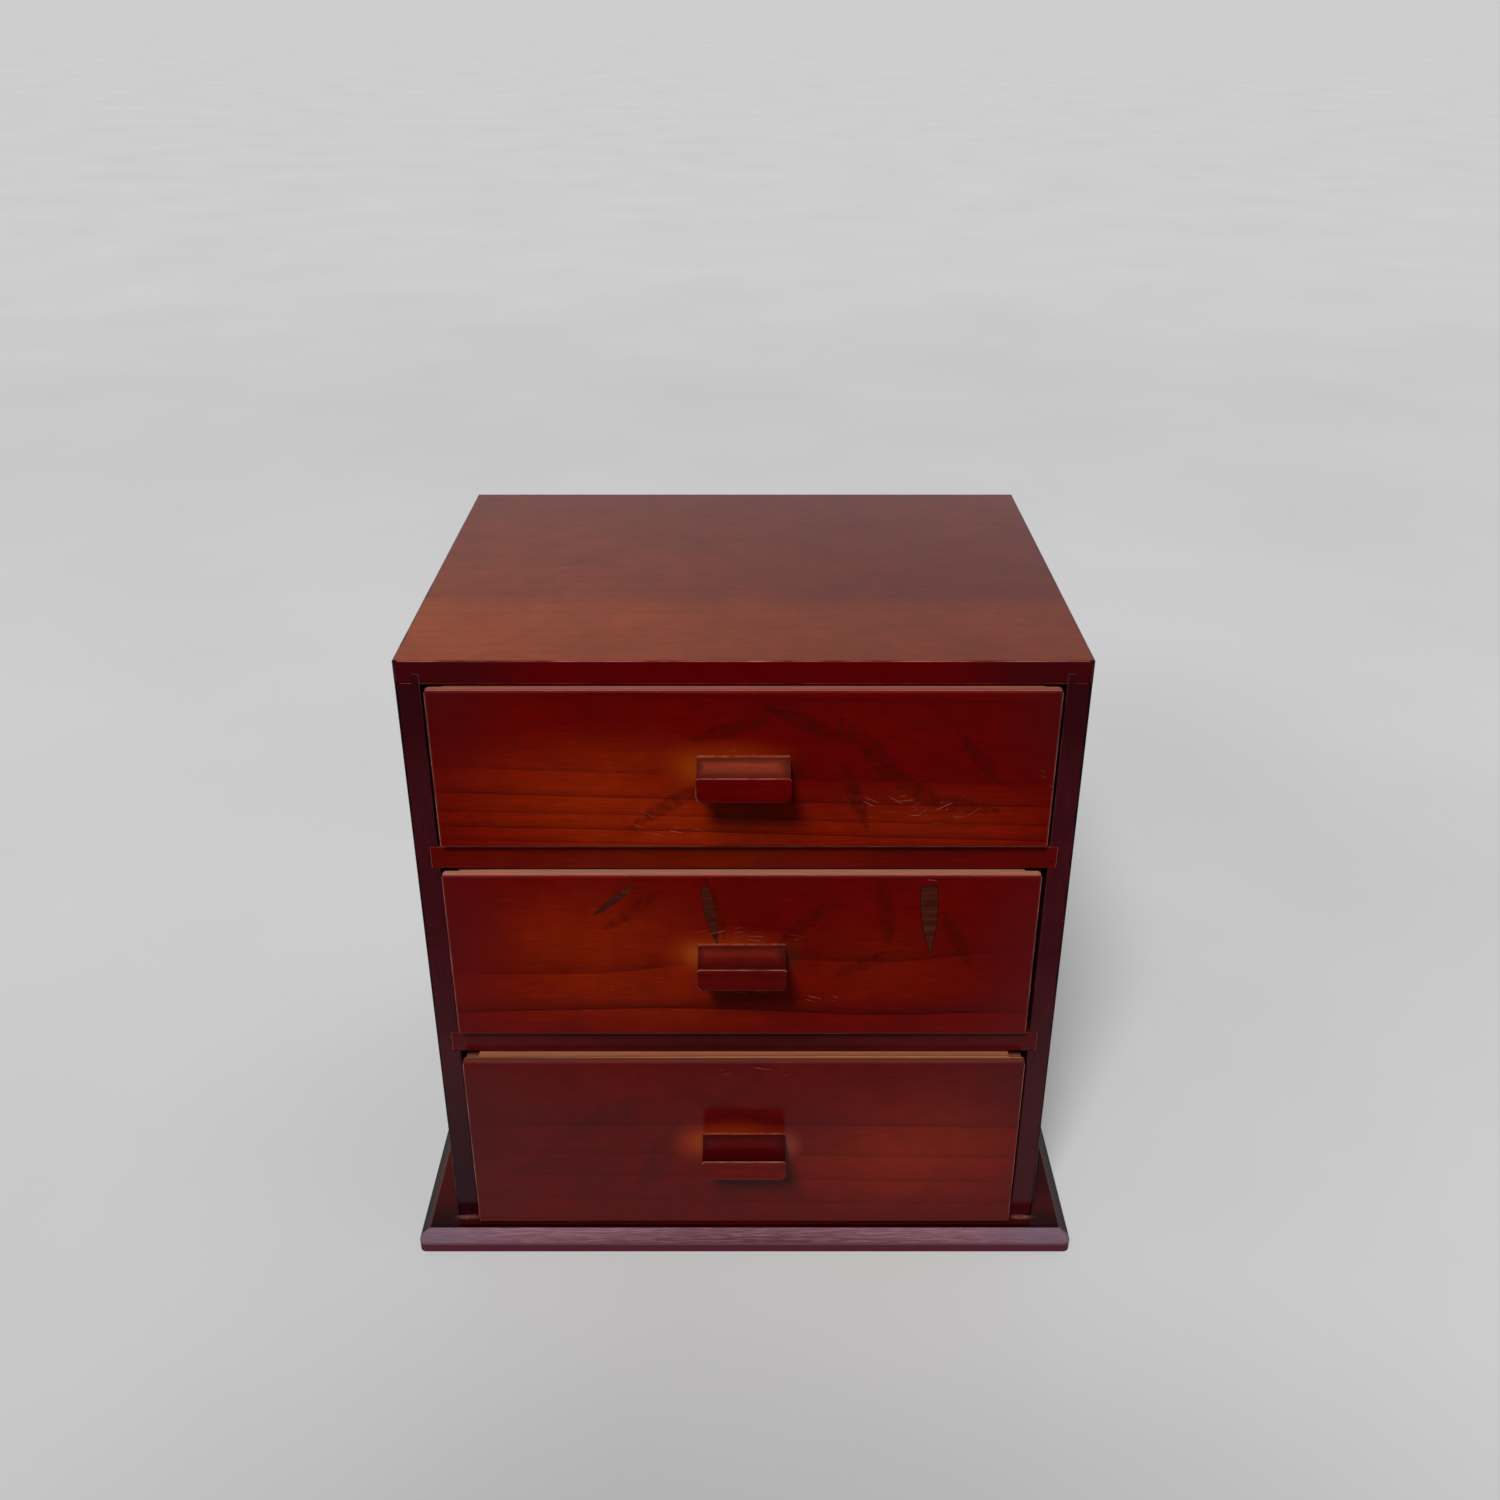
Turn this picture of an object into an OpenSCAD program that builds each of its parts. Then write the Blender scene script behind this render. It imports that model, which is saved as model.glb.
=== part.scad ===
// Small tabletop chest with three graduated drawers.
// X runs across the front, Y from front to back and Z upwards.
// The origin is the middle of the base board's underside. All sizes are in millimetres.

/* [Carcase] */
// Width of the top board
carcase_w = 303; // [220:1:420]
// Depth of the carcase from front edge to back edge
carcase_d = 232.5; // [160:0.5:330]
// Thickness of the top board
top_t = 11.1; // [9.5:0.1:18]
// Thickness of each side panel
side_t = 10.9; // [9:0.1:18]
// How far each side panel stands in from the end of the top board
side_inset = 0.3; // [0:0.1:3]
// Thickness of each board between two drawers
divider_t = 11.6; // [8:0.1:16]
// How far a divider is let into each side panel
dado_depth = 3.8; // [2:0.1:5]
// Rounding of the front arrises of sides and dividers
arris_r = 0.6; // [0.2:0.1:2]
// Rounding of the arrises of the top board
top_arris_r = 0.9; // [0.3:0.1:2]
// Rounding of the four upright corners of the top board
top_corner_r = 1.6; // [0.5:0.1:4]

/* [Tongue joints] */
// Thickness of the tongue on the head of each side panel
tongue_t = 3.2; // [2:0.1:5]
// Height of that tongue, let into the top board
tongue_h = 5; // [3:0.1:7]

/* [Drawer openings] */
// Height of the top opening
top_opening_h = 82; // [60:0.5:120]
// Height of the middle opening
middle_opening_h = 94.6; // [60:0.5:140]
// Height of the bottom opening
bottom_opening_h = 109; // [60:0.5:160]

/* [Base board] */
// Thickness of the base board
base_t = 11.4; // [8:0.1:20]
// How far the base board passes each end of the top board
base_side_overhang = 18.4; // [8:0.1:40]
// How far the base board passes the front of the carcase
base_front_overhang = 14.5; // [8:0.1:40]
// Width of the chamfer round the base board, seen from above
base_chamfer_w = 5.6; // [1:0.1:7]
// Height of that chamfer
base_chamfer_h = 5.4; // [1:0.1:7]
// Rounding of the front corners of the base board
base_corner_r = 3.5; // [0.5:0.1:8]

/* [Back panel] */
// Thickness of the back panel
back_t = 4; // [2.5:0.1:8]
// Width of the rebate that the back panel lies in
back_rebate_w = 6; // [4:0.1:7.5]

/* [Drawer fronts] */
// Thickness of a drawer front
front_t = 12; // [10:0.1:18]
// Gap between a drawer front and the side panel at each end
front_side_gap = 1.8; // [0.8:0.1:4]
// Gap above a drawer front
front_top_gap = 1.4; // [0.6:0.1:4]
// Gap below a drawer front
front_bottom_gap = 1.6; // [0.6:0.1:4]
// How far the front of a shut drawer stands out from the carcase
front_proud = 2; // [0:0.1:8]
// Rounding of the front arrises of a drawer front
front_arris_r = 1.2; // [0.3:0.1:3]
// Rounding of the corners of a drawer front
front_corner_r = 2; // [0.5:0.1:5]
// How far a drawer side laps onto the end of the front
front_lap = 8; // [6:0.1:9]

/* [Drawer boxes] */
// Thickness of a drawer side
box_side_t = 7; // [6:0.1:10]
// How far a drawer side stands in from the end of the front
box_side_inset = 0.6; // [0.2:0.1:3]
// Height left free above a drawer side
box_top_gap = 5; // [2:0.1:15]
// Running gap under a drawer side
runner_gap = 0.3; // [0.2:0.05:1]
// Thickness of a drawer back
box_back_t = 7; // [5:0.1:10]
// How far a drawer back is let into each side
box_back_lap = 3; // [1.5:0.1:4]
// How far a drawer back stays below the top of the sides
box_back_drop = 3; // [0:0.1:15]
// Thickness of a drawer bottom
bottom_t = 3; // [2:0.1:5]
// Depth of the groove that holds a drawer bottom
groove_depth = 3; // [2:0.1:4]
// Height of that groove above the lower edge of a drawer side
groove_up = 5; // [3.5:0.1:10]
// Gap between a shut drawer and the back panel
stop_gap = 0.5; // [0.3:0.1:3]

/* [Drawers as they stand] */
// How far the top drawer stands open
top_pulled = 1.5; // [0:0.5:100]
// How far the middle drawer stands open
middle_pulled = 2; // [0:0.5:100]
// How far the bottom drawer stands open
bottom_pulled = 5; // [0:0.5:100]
// How far the top drawer stands to the right, as a share of its side gap
top_sideways = 0; // [-0.8:0.05:0.8]
// How far the middle drawer stands to the right, as a share of its side gap
middle_sideways = -0.55; // [-0.8:0.05:0.8]
// How far the bottom drawer stands to the right, as a share of its side gap
bottom_sideways = -0.15; // [-0.8:0.05:0.8]

/* [Pulls] */
// Width of a pull
pull_w = 41.5; // [32:0.5:60]
// How far a pull stands out from the drawer front
pull_d = 20; // [14:0.1:28]
// Height of a pull where it meets the drawer front
pull_h = 12.2; // [11.5:0.1:18]
// How far the middle of a pull stands above the middle of its opening
pull_rise = 0.5; // [-4:0.1:4]
// How far the lip of a pull stays below its top (below zero: stands above it)
lip_drop = -0.5; // [-1.5:0.1:1]
// Depth of the hollow scooped out of the top of a pull
cove_depth = 5.4; // [4:0.1:5.6]
// Width of the land left on each side of the hollow
cove_land = 0.7; // [0.4:0.1:2]
// Rounding of the lip's upper corners, seen from the front
pull_upper_r = 1.5; // [0.5:0.1:3]
// Rounding of the lower corners of a pull, seen from the front
pull_lower_r = 4.5; // [1:0.1:5.5]
// Rounding under the front of a pull
pull_nose_r = 2; // [0.5:0.1:4]

/* [Screws] */
// Length of a base screw
base_screw_l = 32; // [25:1:50]
// Diameter of a base screw
base_screw_d = 3; // [2:0.1:4]
// Diameter of a base screw's head
base_screw_head_d = 6.4; // [4:0.1:8]
// How deep the base screws are sunk below the underside
base_screw_sink = 0.8; // [0.2:0.1:2]
// Distance of the outer base screws from the front and back of the carcase
base_screw_edge = 32; // [15:1:70]
// Length of a pull screw
pull_screw_l = 21; // [18:0.5:24]
// Diameter of a pull screw
pull_screw_d = 2.6; // [2:0.1:3]
// Diameter of a pull screw's head
pull_screw_head_d = 5.4; // [4:0.1:6]
// Distance between the two screws of a pull
pull_screw_pitch = 22; // [14:0.5:26]
// Height of the pull screws above the underside of a pull
pull_screw_up = 3.5; // [2.5:0.1:3.5]

/* [Nails] */
// Diameter of a nail
nail_d = 1.3; // [1:0.1:2]
// Diameter of a nail's head
nail_head_d = 2.5; // [2:0.1:3]
// Thickness of a nail's head
nail_head_h = 0.5; // [0.3:0.1:1]
// Length of a nail in the back panel
back_nail_l = 16; // [10:0.5:24]
// Length of a nail at a drawer corner
corner_nail_l = 20; // [14:0.5:30]
// Length of a nail under a drawer back
bottom_nail_l = 13; // [8:0.5:20]
// Least distance of a nail from the edge of a board
nail_edge = 9; // [5:0.5:14]

/* [Clearances] */
// Clearance in a glued joint, along the grain of its slot
joint_gap = 0.1; // [0:0.05:0.4]
// Clearance round a nail or screw
fixing_gap = 0.03; // [0.01:0.01:0.1]

/* [Hidden] */
$fn = 48;
DRAWERS = ["top", "middle", "bottom"];
DRAWER_PARTS = ["front", "left_side", "right_side", "back", "bottom_panel",
                "pull", "pull_screws", "corner_nails", "bottom_nails"];
CARCASE_PARTS = ["base_board", "left_side_panel", "right_side_panel", "top_board",
                 "upper_divider", "lower_divider", "back_panel", "base_screws",
                 "back_panel_nails"];

// How far a cutting solid passes the face that it cuts
over = 1;

// Widths across the carcase, all of them centred on X = 0
side_outer_x = carcase_w / 2 - side_inset;
side_inner_x = side_outer_x - side_t;
side_mid_x = side_outer_x - side_t / 2;
base_w = carcase_w + 2 * base_side_overhang;

// Depths: the base board is flush with the back of the carcase
base_d = carcase_d + base_front_overhang;
back_y = base_d / 2;
front_y = back_y - carcase_d;
back_panel_y = back_y - back_t;

// Heights, from the floor up
opening_h = [top_opening_h, middle_opening_h, bottom_opening_h];
bottom_opening_z = base_t;
lower_divider_z = bottom_opening_z + bottom_opening_h;
middle_opening_z = lower_divider_z + divider_t;
upper_divider_z = middle_opening_z + middle_opening_h;
top_opening_z = upper_divider_z + divider_t;
opening_z = [top_opening_z, middle_opening_z, bottom_opening_z];
top_z = top_opening_z + top_opening_h;

// Drawer sizes shared by the three drawers
pulled = [top_pulled, middle_pulled, bottom_pulled];
sideways = front_side_gap * [top_sideways, middle_sideways, bottom_sideways];
front_half_w = side_inner_x - front_side_gap;
box_outer_x = front_half_w - box_side_inset;
box_inner_x = box_outer_x - box_side_t;
drawer_l = front_proud + carcase_d - back_t - stop_gap;

// Places of one drawer, where i is 0 for the top, 1 for the middle and 2 for the bottom drawer
function face_y(i) = front_y - front_proud - pulled[i];
function front_rear_y(i) = face_y(i) + front_t;
function box_rear_y(i) = face_y(i) + drawer_l;
function side_z0(i) = opening_z[i] + runner_gap;
function side_z1(i) = opening_z[i] + opening_h[i] - box_top_gap;
function panel_z(i) = side_z0(i) + groove_up;
function back_z0(i) = panel_z(i) + bottom_t;
function back_z1(i) = side_z1(i) - box_back_drop;
function front_z0(i) = opening_z[i] + front_bottom_gap;
function front_z1(i) = opening_z[i] + opening_h[i] - front_top_gap;
function pull_z(i) = opening_z[i] + opening_h[i] / 2 - pull_h / 2 + pull_rise;

// Three evenly spaced places from a to b
function three(a, b) = [a, (a + b) / 2, b];

// Finish colours
dark_red = "#4a1418";
warm_red = "#7a2410";
pull_red = "#6a1410";
pale_wood = "#cba779";
ply_wood = "#b98c5c";
steel = "#8f8a82";

// What is cut away to round one corner of an outline: the corner is at the origin
module corner_cut(r) {
    difference() {
        translate([-over, -over]) square(r + over);
        translate([r, r]) circle(r);
    }
}

// A rectangle from corner a to corner b, its corners rounded in turn from the lower left
module eased_rect(a, b, radii) {
    corners = [a, [b.x, a.y], b, [a.x, b.y]];
    difference() {
        translate(a) square(b - a);
        for (k = [0 : 3]) {
            if (radii[k] > 0) translate(corners[k]) rotate(90 * k) corner_cut(radii[k]);
        }
    }
}

// Stands an outline drawn in X and Z up and runs it from y0 to y1
module run_y(y0, y1) {
    translate([0, y1, 0]) rotate([90, 0, 0]) linear_extrude(y1 - y0) children();
}

// Stands an outline drawn in Y and Z up and runs it from x0 to x1
module run_x(x0, x1) {
    translate([x0, 0, 0]) rotate([90, 0, 90]) linear_extrude(x1 - x0) children();
}

// Runs an outline drawn in X and Y from z0 to z1
module run_z(z0, z1) {
    translate([0, 0, z0]) linear_extrude(z1 - z0) children();
}

// A plain box from corner a to corner b
module block(a, b) {
    translate(a) cube(b - a);
}

// A board from corner a to corner b, eased in plan, from the front and from the side
module eased_board(a, b, plan, front, side) {
    intersection() {
        run_z(a.z, b.z) eased_rect([a.x, a.y], [b.x, b.y], plan);
        run_y(a.y, b.y) eased_rect([a.x, a.z], [b.x, b.z], front);
        run_x(a.x, b.x) eased_rect([a.y, a.z], [b.y, b.z], side);
    }
}

// A nail driven along -Z, the top of its head at the origin
module nail(l) {
    tip_h = 1.6 * nail_d;
    translate([0, 0, -nail_head_h]) cylinder(d = nail_head_d, h = nail_head_h);
    translate([0, 0, tip_h - l]) cylinder(d = nail_d, h = l - tip_h - nail_head_h / 2);
    translate([0, 0, -l]) cylinder(d1 = 0.2 * nail_d, d2 = nail_d, h = tip_h);
}

// The hole that a nail fills, open above its head
module nail_hole(l) {
    translate([0, 0, -nail_head_h]) cylinder(d = nail_head_d + 2 * fixing_gap, h = nail_head_h + over);
    translate([0, 0, -l - fixing_gap]) cylinder(d = nail_d + 2 * fixing_gap, h = l);
}

// Height of a countersunk head with a 90 degree cone
function head_h(head_d, d) = (head_d - d) / 2;

// A slotted countersunk screw driven along -Z, the top of its head at the origin
module screw(l, d, head_d) {
    cone_h = head_h(head_d, d);
    tip_h = 1.4 * d;
    slot_w = 0.16 * head_d;
    difference() {
        union() {
            translate([0, 0, -cone_h]) cylinder(d1 = d, d2 = head_d, h = cone_h);
            translate([0, 0, tip_h - l]) cylinder(d = d, h = l - tip_h - cone_h / 2);
            translate([0, 0, -l]) cylinder(d1 = 0.2 * d, d2 = d, h = tip_h);
        }
        translate([-head_d, -slot_w / 2, -cone_h / 2]) cube([2 * head_d, slot_w, cone_h]);
    }
}

// The hole that such a screw fills, sunk below the face by sink
module screw_hole(l, d, head_d, sink) {
    cone_h = head_h(head_d, d);
    wide = head_d + 2 * fixing_gap;
    translate([0, 0, -cone_h]) cylinder(d1 = d + 2 * fixing_gap, d2 = wide, h = cone_h);
    cylinder(d = wide, h = sink + over);
    translate([0, 0, -l - fixing_gap]) cylinder(d = d + 2 * fixing_gap, h = l);
}

// Places of the base screws, driven upwards into the side panels
module at_base_screws() {
    for (s = [-1, 1]) for (y = three(front_y + base_screw_edge, back_y - base_screw_edge)) {
        translate([s * side_mid_x, y, base_screw_sink]) rotate([180, 0, 0]) children();
    }
}

// Places of the nails in the back panel, driven forwards
module at_back_nails() {
    edge_x = side_inner_x + back_rebate_w / 2;
    row_x = three(-side_inner_x / 2, side_inner_x / 2);
    rails_z = [lower_divider_z + divider_t / 2, upper_divider_z + divider_t / 2, top_z + back_rebate_w / 2];
    for (s = [-1, 1]) for (i = [0 : 2]) for (share = [0.25, 0.75]) {
        translate([s * edge_x, back_y, opening_z[i] + share * opening_h[i]]) rotate([-90, 0, 0]) children();
    }
    for (x = row_x) for (z = rails_z) translate([x, back_y, z]) rotate([-90, 0, 0]) children();
}

// Places of the nails through the drawer side at s = -1 for the left and s = 1 for the right
module at_side_nails(i, s) {
    lap_y = front_rear_y(i) - front_lap / 2;
    rear_y = box_rear_y(i) - box_back_t / 2;
    for (z = three(back_z0(i) + nail_edge, side_z1(i) - nail_edge)) {
        translate([s * box_outer_x, lap_y, z]) rotate([0, 90 * s, 0]) children();
    }
    for (z = three(back_z0(i) + nail_edge, back_z1(i) - nail_edge)) {
        translate([s * box_outer_x, rear_y, z]) rotate([0, 90 * s, 0]) children();
    }
}

// Places of the nails through the drawer bottom, driven upwards into the drawer back
module at_bottom_nails(i) {
    row_end = 0.6 * box_inner_x;
    for (x = three(-row_end, row_end)) {
        translate([x, box_rear_y(i) - box_back_t / 2, panel_z(i)]) rotate([180, 0, 0]) children();
    }
}

// Places of the two pull screws, driven forwards from inside the drawer
module at_pull_screws(i) {
    for (s = [-1, 1]) {
        translate([s * pull_screw_pitch / 2, front_rear_y(i), pull_z(i) + pull_screw_up]) {
            rotate([-90, 0, 0]) children();
        }
    }
}

// Base board: chamfered at the front and the ends, square at the back
module base_board() {
    half_w = base_w / 2;
    color(dark_red) difference() {
        intersection() {
            run_z(0, base_t) {
                eased_rect([-half_w, -base_d / 2], [half_w, back_y], [base_corner_r, base_corner_r, 0, 0]);
            }
            run_y(-base_d / 2, back_y) polygon([
                [-half_w, 0], [half_w, 0],
                [half_w, base_t - base_chamfer_h], [half_w - base_chamfer_w, base_t],
                [base_chamfer_w - half_w, base_t], [-half_w, base_t - base_chamfer_h]
            ]);
            run_x(-half_w, half_w) polygon([
                [-base_d / 2, 0], [back_y, 0], [back_y, base_t],
                [base_chamfer_w - base_d / 2, base_t], [-base_d / 2, base_t - base_chamfer_h]
            ]);
        }
        at_base_screws() screw_hole(base_screw_l, base_screw_d, base_screw_head_d, base_screw_sink);
    }
}

// Side panel, drawn as the right one: dadoed for the dividers and rebated for the back
module side_panel() {
    tongue_top = top_z + tongue_h;
    difference() {
        union() {
            run_z(base_t, top_z) {
                eased_rect([side_inner_x, front_y], [side_outer_x, back_y], [arris_r, arris_r, 0, 0]);
            }
            block([side_inner_x, front_y, top_z - over], [side_inner_x + tongue_t, back_y, tongue_top]);
        }
        for (z = [lower_divider_z, upper_divider_z]) {
            block([side_inner_x - over, front_y - over, z],
                  [side_inner_x + dado_depth, back_y + over, z + divider_t]);
        }
        block([side_inner_x - over, back_panel_y, base_t - over],
              [side_inner_x + back_rebate_w, back_y + over, tongue_top + over]);
    }
}

// Right side panel with its nail and screw holes
module right_side_panel() {
    color(dark_red) difference() {
        side_panel();
        at_base_screws() screw_hole(base_screw_l, base_screw_d, base_screw_head_d, base_screw_sink);
        at_back_nails() nail_hole(back_nail_l);
    }
}

// Left side panel, the mirror image of the right one
module left_side_panel() {
    mirror([1, 0, 0]) right_side_panel();
}

// Top board: grooved at each end for the tongues and rebated for the back panel
module top_board() {
    half_w = carcase_w / 2;
    up = top_z + top_t;
    color(dark_red) difference() {
        eased_board([-half_w, front_y, top_z], [half_w, back_y, up],
                    [top_corner_r, top_corner_r, top_corner_r, top_corner_r],
                    [0, 0, top_arris_r, top_arris_r], [arris_r, 0, top_arris_r, top_arris_r]);
        for (s = [0, 1]) mirror([s, 0, 0]) {
            block([side_inner_x - joint_gap, front_y - over, top_z - over],
                  [side_inner_x + tongue_t + joint_gap, back_panel_y + over, top_z + tongue_h + joint_gap]);
        }
        block([-side_inner_x - back_rebate_w, back_panel_y, top_z - over],
              [side_inner_x + back_rebate_w, back_y + over, top_z + back_rebate_w]);
        at_back_nails() nail_hole(back_nail_l);
    }
}

// Divider between two drawers, housed in the dadoes of the side panels
module divider(z) {
    end_x = side_inner_x + dado_depth - joint_gap;
    color(dark_red) difference() {
        run_x(-end_x, end_x) {
            eased_rect([front_y, z], [back_panel_y, z + divider_t], [arris_r, 0, 0, arris_r]);
        }
        at_back_nails() nail_hole(back_nail_l);
    }
}

module upper_divider() {
    divider(upper_divider_z);
}

module lower_divider() {
    divider(lower_divider_z);
}

// Back panel, lying in the rebates of the side panels and the top board
module back_panel() {
    half_w = side_inner_x + back_rebate_w - joint_gap;
    color(ply_wood) difference() {
        block([-half_w, back_panel_y, base_t], [half_w, back_y, top_z + back_rebate_w - joint_gap]);
        at_back_nails() nail_hole(back_nail_l);
    }
}

module base_screws() {
    color(steel) at_base_screws() screw(base_screw_l, base_screw_d, base_screw_head_d);
}

module back_panel_nails() {
    color(steel) at_back_nails() nail(back_nail_l);
}

// Drawer front: rebated at both ends for the sides and grooved for the bottom
module drawer_front(i) {
    y0 = face_y(i);
    y1 = front_rear_y(i);
    color(warm_red) difference() {
        eased_board([-front_half_w, y0, front_z0(i)], [front_half_w, y1, front_z1(i)],
                    [front_arris_r, front_arris_r, 0, 0],
                    [front_corner_r, front_corner_r, front_corner_r, front_corner_r],
                    [front_arris_r, 0, 0, front_arris_r]);
        for (s = [0, 1]) mirror([s, 0, 0]) {
            block([box_inner_x, y1 - front_lap, front_z0(i) - over],
                  [front_half_w + over, y1 + over, front_z1(i) + over]);
        }
        block([-box_outer_x, y1 - groove_depth, panel_z(i)],
              [box_outer_x, y1 + over, panel_z(i) + bottom_t + joint_gap]);
        for (s = [-1, 1]) at_side_nails(i, s) nail_hole(corner_nail_l);
        at_pull_screws(i) screw_hole(pull_screw_l, pull_screw_d, pull_screw_head_d, 0);
    }
}

// Drawer side, drawn as the right one: grooved for the bottom and rebated for the back
module drawer_side(i) {
    y0 = front_rear_y(i) - front_lap;
    y1 = box_rear_y(i);
    difference() {
        run_z(side_z0(i), side_z1(i)) {
            eased_rect([box_inner_x, y0], [box_outer_x, y1], [0, 0, arris_r, 0]);
        }
        block([box_inner_x - over, y0 - over, panel_z(i)],
              [box_inner_x + groove_depth, y1 + over, panel_z(i) + bottom_t + joint_gap]);
        block([box_inner_x - over, y1 - box_back_t, side_z0(i) - over],
              [box_inner_x + box_back_lap, y1 + over, side_z1(i) + over]);
        at_side_nails(i, 1) nail_hole(corner_nail_l);
    }
}

module drawer_right_side(i) {
    color(pale_wood) drawer_side(i);
}

module drawer_left_side(i) {
    color(pale_wood) mirror([1, 0, 0]) drawer_side(i);
}

// Drawer back, standing on the drawer bottom and let into the rebates of the sides
module drawer_back(i) {
    end_x = box_inner_x + box_back_lap - joint_gap;
    y1 = box_rear_y(i);
    color(pale_wood) difference() {
        block([-end_x, y1 - box_back_t, back_z0(i)], [end_x, y1, back_z1(i)]);
        for (s = [-1, 1]) at_side_nails(i, s) nail_hole(corner_nail_l);
        at_bottom_nails(i) nail_hole(bottom_nail_l);
    }
}

// Drawer bottom, slid in from the rear along the grooves and nailed up into the back
module drawer_bottom_panel(i) {
    edge_x = box_inner_x + groove_depth - joint_gap;
    y0 = front_rear_y(i) - groove_depth + joint_gap;
    color(ply_wood) difference() {
        block([-edge_x, y0, panel_z(i)], [edge_x, box_rear_y(i), back_z0(i)]);
        at_bottom_nails(i) nail_hole(bottom_nail_l);
    }
}

// Outline of a pull h high, seen from the front
module pull_outline(i, h, upper_r) {
    half_w = pull_w / 2;
    eased_rect([-half_w, pull_z(i)], [half_w, pull_z(i) + h],
               [pull_lower_r, pull_lower_r, upper_r, upper_r]);
}

// Pull: a block with a hollow scooped along its top, a lip in front and a rounded nose
module drawer_pull(i) {
    y0 = face_y(i) - pull_d;
    z0 = pull_z(i);
    lip_h = pull_h - lip_drop;
    mid = [face_y(i) - pull_d / 2, z0 + pull_h - lip_drop / 2];
    chord = [pull_d - 2 * cove_land, lip_drop];
    half_chord = norm(chord) / 2;
    cove_r = (half_chord * half_chord + cove_depth * cove_depth) / (2 * cove_depth);
    cove_centre = mid + (cove_r - cove_depth) * [-chord.y, chord.x] / norm(chord);
    color(pull_red) difference() {
        intersection() {
            union() {
                run_y(y0, mid.x) pull_outline(i, lip_h, pull_upper_r);
                run_y(mid.x, face_y(i)) pull_outline(i, pull_h, 0);
            }
            run_x(-pull_w, pull_w) {
                eased_rect([y0, z0], [face_y(i), z0 + max(pull_h, lip_h)], [pull_nose_r, 0, 0, 0]);
            }
        }
        run_x(-pull_w, pull_w) translate(cove_centre) circle(cove_r);
        at_pull_screws(i) screw_hole(pull_screw_l, pull_screw_d, pull_screw_head_d, 0);
    }
}

module drawer_pull_screws(i) {
    color(steel) at_pull_screws(i) screw(pull_screw_l, pull_screw_d, pull_screw_head_d);
}

module drawer_corner_nails(i) {
    color(steel) for (s = [-1, 1]) at_side_nails(i, s) nail(corner_nail_l);
}

module drawer_bottom_nails(i) {
    color(steel) at_bottom_nails(i) nail(bottom_nail_l);
}

base_board();
left_side_panel();
right_side_panel();
top_board();
upper_divider();
lower_divider();
back_panel();
base_screws();
back_panel_nails();
for (i = [0 : 2]) translate([sideways[i], 0, 0]) {
    drawer = str(DRAWERS[i], "_drawer_");
    drawer_front(i);
    drawer_left_side(i);
    drawer_right_side(i);
    drawer_back(i);
    drawer_bottom_panel(i);
    drawer_pull(i);
    drawer_pull_screws(i);
    drawer_corner_nails(i);
    drawer_bottom_nails(i);
}
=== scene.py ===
# Small tabletop chest with three drawers: its woods, lacquer, wear, floor, light and camera.
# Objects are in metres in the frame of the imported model: X to the right, Y to the back, Z up.
# Patterns are written in millimetres, as a joiner would measure them.
import math

import bpy
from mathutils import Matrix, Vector


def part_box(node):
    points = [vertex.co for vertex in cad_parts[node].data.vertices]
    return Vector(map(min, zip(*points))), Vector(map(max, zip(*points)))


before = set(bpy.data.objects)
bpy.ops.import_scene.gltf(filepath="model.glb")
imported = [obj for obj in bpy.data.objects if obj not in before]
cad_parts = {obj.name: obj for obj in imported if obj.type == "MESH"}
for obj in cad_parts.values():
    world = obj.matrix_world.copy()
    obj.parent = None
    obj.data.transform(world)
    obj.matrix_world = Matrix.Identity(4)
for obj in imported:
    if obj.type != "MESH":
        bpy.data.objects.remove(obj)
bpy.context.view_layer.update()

DRAWERS = ("top", "middle", "bottom")
SIDES = (-1, 1)
MM = 0.001

# A reach so long (mm) that a pattern stays the same from a board's face to its back
ENDLESS = 1000

# Input numbers of the Mix node when it mixes colours: a share, the lower colour and the upper one
SHARE = 0
UNDER = 6
OVER = 7

# How far a pattern is drawn out along the grain, for boards whose grain runs along X, Y or Z
GRAIN_X = Vector((0.06, 1, 1))
GRAIN_Y = Vector((1, 0.06, 1))
GRAIN_Z = Vector((1, 1, 0.06))

# Lacquer over stain: a thin clear film, rubbed down and waxed, so it shines less than glass. The top,
# the pulls and the base board are touched and wiped the most, so their film is the dullest
LACQUER_IOR = 1.25
TOP_IOR = 1.19
PULL_IOR = 1.16
BASE_IOR = 1.15
LACQUER_ROUGHNESS = 0.14

# Bare wood, planed and never finished
BARE_PALE = "#c99a72"
BARE_LATE = "#8a5636"
BARE_ROUGHNESS = 0.7
BARE_IOR = 1.5


def linear(colour):
    """Turns an sRGB hex colour to the linear one that shaders work in."""
    shares = [int(colour[i:i + 2], 16) / 255 for i in (1, 3, 5)]
    return tuple(s / 12.92 if s <= 0.04045 else ((s + 0.055) / 1.055) ** 2.4 for s in shares) + (1.0,)


def add(tree, kind, inputs=None, **settings):
    """Adds a node with its settings and links.

    An input takes a value, an sRGB hex colour, a socket, or a node, whose first output it reads."""
    node = tree.nodes.new(kind)
    for name, value in settings.items():
        setattr(node, name, value)
    for socket, value in (inputs or {}).items():
        if isinstance(value, bpy.types.Node):
            value = next(output for output in value.outputs if output.enabled)
        if isinstance(value, bpy.types.NodeSocket):
            tree.links.new(value, node.inputs[socket])
        else:
            node.inputs[socket].default_value = linear(value) if isinstance(value, str) else value
    return node


def box_mm(node):
    """Lowest and highest corner of a CAD node in millimetres."""
    low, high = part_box(node)
    return low / MM, high / MM


# Patterns that the woods share

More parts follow.
